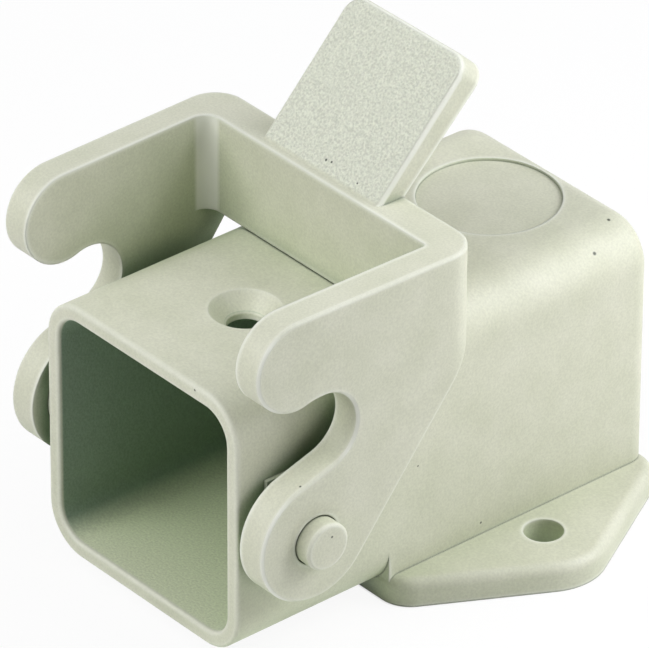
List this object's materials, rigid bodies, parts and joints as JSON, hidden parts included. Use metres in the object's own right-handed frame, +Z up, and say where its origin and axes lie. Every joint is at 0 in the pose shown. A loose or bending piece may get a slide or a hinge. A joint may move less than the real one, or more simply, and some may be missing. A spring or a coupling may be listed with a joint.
{
  "type": "heavy duty rectangular connector housing",
  "caption": "Angled wall-mounting housing of a small heavy duty rectangular connector, with a square mouth, a flange and a hooked locking lever.",
  "frame": {"origin": "on the mounting face, midway between the two flange holes", "axes": "+X to the right, +Y to the back, +Z up from the mounting face; the mating mouth faces -Y"},
  "size_m": [0.0408, 0.0458, 0.0442],
  "materials": {
    "housing_plastic": "satin, light grey",
    "lever_plastic": "satin, light grey",
    "seal_rubber": "matt black"
  },
  "bodies": {
    "housing": {"housing": "housing_plastic", "flange_seal": "seal_rubber"},
    "locking_lever": {"locking_lever": "lever_plastic"}
  },
  "joints": [
    {"name": "lever_pivot", "type": "hinge", "parent": "housing", "child": "locking_lever", "pos_m": [0, -0.02545, 0.01305], "axis": [1, 0, 0], "range_deg": [0, 90]}
  ]
}
